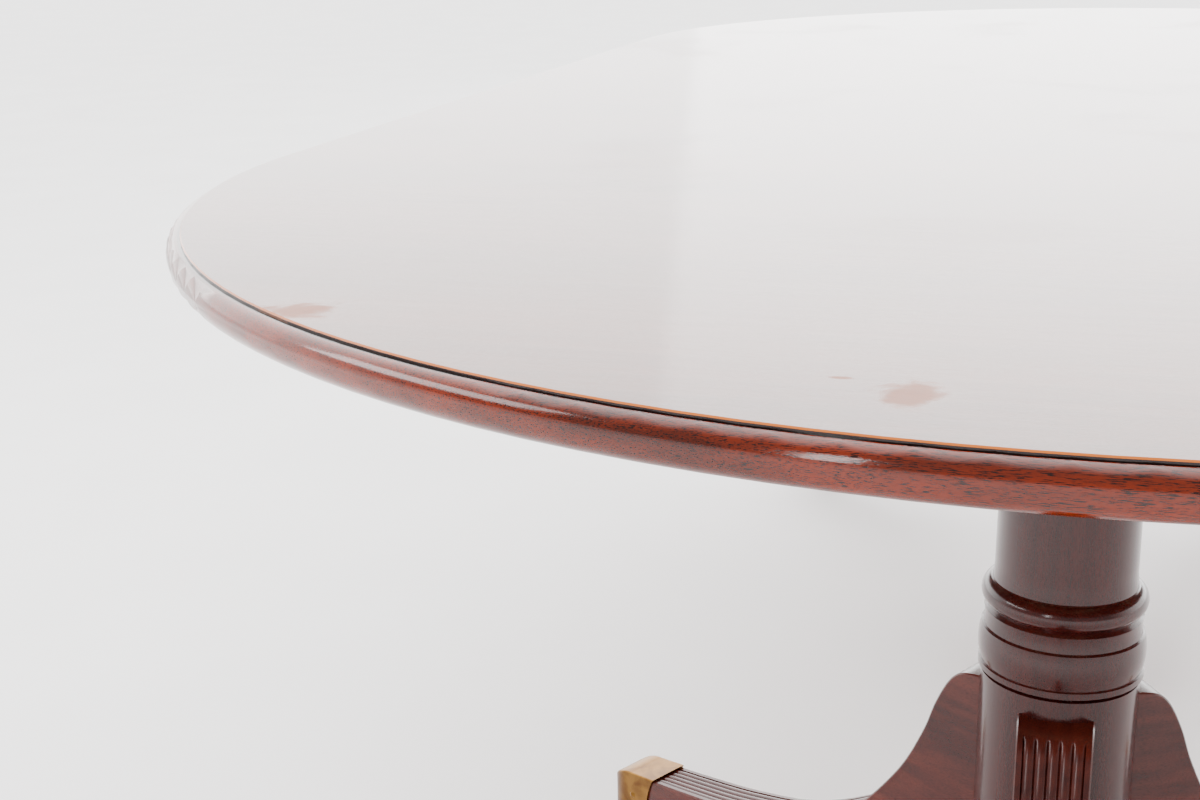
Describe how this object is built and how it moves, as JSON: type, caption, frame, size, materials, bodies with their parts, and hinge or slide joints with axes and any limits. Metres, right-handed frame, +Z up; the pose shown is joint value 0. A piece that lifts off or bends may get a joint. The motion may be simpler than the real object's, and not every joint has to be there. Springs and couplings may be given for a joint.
{
  "type": "twin pedestal dining table",
  "caption": "Twin pedestal dining table with half-round ends, a loose leaf, sabre legs and brass castors.",
  "frame": {"origin": "on the floor under the middle of the top", "axes": "+X along the table, +Z up"},
  "size_m": [2.5002, 1.3202, 0.762],
  "materials": {
    "mahogany_top": "high gloss french polish",
    "mahogany_rim": "high gloss french polish",
    "mahogany_base": "gloss polish",
    "secondary_wood": "oiled",
    "brass": "worn satin",
    "iron": "blackened",
    "steel": "plain"
  },
  "bodies": {
    "table": {"bearer_inner_far": "secondary_wood", "bearer_inner_near": "secondary_wood", "bearer_outer_far": "secondary_wood", "bearer_outer_near": "secondary_wood", "bearer_screws_far": "steel", "bearer_screws_near": "steel", "block_screws_far": "steel", "block_screws_near": "steel", "clip_guide_far": "brass", "clip_guide_near": "brass", "clip_keepers": "brass", "column_far": "mahogany_base", "column_near": "mahogany_base", "end_panel_far": "mahogany_top", "end_panel_near": "mahogany_top", "end_rim_far": "mahogany_rim", "end_rim_near": "mahogany_rim", "leaf_panel": "mahogany_top", "leaf_pegs": "secondary_wood", "leaf_rims": "mahogany_rim", "leg_far_1": "mahogany_base", "leg_far_2": "mahogany_base", "leg_far_3": "mahogany_base", "leg_near_1": "mahogany_base", "leg_near_2": "mahogany_base", "leg_near_3": "mahogany_base", "pillar_block_far": "secondary_wood", "pillar_block_near": "secondary_wood", "strap_far": "iron", "strap_near": "iron", "strap_screws_far": "steel", "strap_screws_near": "steel", "toe_cap_far_1": "brass", "toe_cap_far_2": "brass", "toe_cap_far_3": "brass", "toe_cap_near_1": "brass", "toe_cap_near_2": "brass", "toe_cap_near_3": "brass"},
    "castor_near_1": {"castor_horn_near_1": "brass", "castor_axle_near_1": "brass"},
    "wheel_near_1": {"castor_wheel_near_1": "brass"},
    "castor_near_2": {"castor_horn_near_2": "brass", "castor_axle_near_2": "brass"},
    "wheel_near_2": {"castor_wheel_near_2": "brass"},
    "castor_near_3": {"castor_horn_near_3": "brass", "castor_axle_near_3": "brass"},
    "wheel_near_3": {"castor_wheel_near_3": "brass"},
    "clip_near": {"leaf_clip_near": "brass"},
    "castor_far_1": {"castor_horn_far_1": "brass", "castor_axle_far_1": "brass"},
    "wheel_far_1": {"castor_wheel_far_1": "brass"},
    "castor_far_2": {"castor_horn_far_2": "brass", "castor_axle_far_2": "brass"},
    "wheel_far_2": {"castor_wheel_far_2": "brass"},
    "castor_far_3": {"castor_horn_far_3": "brass", "castor_axle_far_3": "brass"},
    "wheel_far_3": {"castor_wheel_far_3": "brass"},
    "clip_far": {"leaf_clip_far": "brass"}
  },
  "joints": [
    {"name": "swivel_near_1", "type": "hinge", "parent": "table", "child": "castor_near_1", "pos_m": [-1.056, 0, 0.04], "axis": [0, 0, 1], "continuous": true},
    {"name": "roll_near_1", "type": "hinge", "parent": "castor_near_1", "child": "wheel_near_1", "pos_m": [-1.044, 0, 0.017], "axis": [0, -1, 0], "continuous": true},
    {"name": "swivel_near_2", "type": "hinge", "parent": "table", "child": "castor_near_2", "pos_m": [-0.357, 0.40357, 0.04], "axis": [0, 0, 1], "continuous": true},
    {"name": "roll_near_2", "type": "hinge", "parent": "castor_near_2", "child": "wheel_near_2", "pos_m": [-0.363, 0.39318, 0.017], "axis": [-0.866, 0.5, 0], "continuous": true},
    {"name": "swivel_near_3", "type": "hinge", "parent": "table", "child": "castor_near_3", "pos_m": [-0.357, -0.40357, 0.04], "axis": [0, 0, 1], "continuous": true},
    {"name": "roll_near_3", "type": "hinge", "parent": "castor_near_3", "child": "wheel_near_3", "pos_m": [-0.363, -0.39318, 0.017], "axis": [0.866, 0.5, 0], "continuous": true},
    {"name": "clip_slide_near", "type": "slide", "parent": "table", "child": "clip_near", "axis": [-1, 0, 0], "range_m": [0, 0.03]},
    {"name": "swivel_far_1", "type": "hinge", "parent": "table", "child": "castor_far_1", "pos_m": [0.124, 0, 0.04], "axis": [0, 0, 1], "continuous": true},
    {"name": "roll_far_1", "type": "hinge", "parent": "castor_far_1", "child": "wheel_far_1", "pos_m": [0.136, 0, 0.017], "axis": [0, -1, 0], "continuous": true},
    {"name": "swivel_far_2", "type": "hinge", "parent": "table", "child": "castor_far_2", "pos_m": [0.823, 0.40357, 0.04], "axis": [0, 0, 1], "continuous": true},
    {"name": "roll_far_2", "type": "hinge", "parent": "castor_far_2", "child": "wheel_far_2", "pos_m": [0.817, 0.39318, 0.017], "axis": [-0.866, 0.5, 0], "continuous": true},
    {"name": "swivel_far_3", "type": "hinge", "parent": "table", "child": "castor_far_3", "pos_m": [0.823, -0.40357, 0.04], "axis": [0, 0, 1], "continuous": true},
    {"name": "roll_far_3", "type": "hinge", "parent": "castor_far_3", "child": "wheel_far_3", "pos_m": [0.817, -0.39318, 0.017], "axis": [0.866, 0.5, 0], "continuous": true},
    {"name": "clip_slide_far", "type": "slide", "parent": "table", "child": "clip_far", "axis": [1, 0, 0], "range_m": [0, 0.03]}
  ]
}
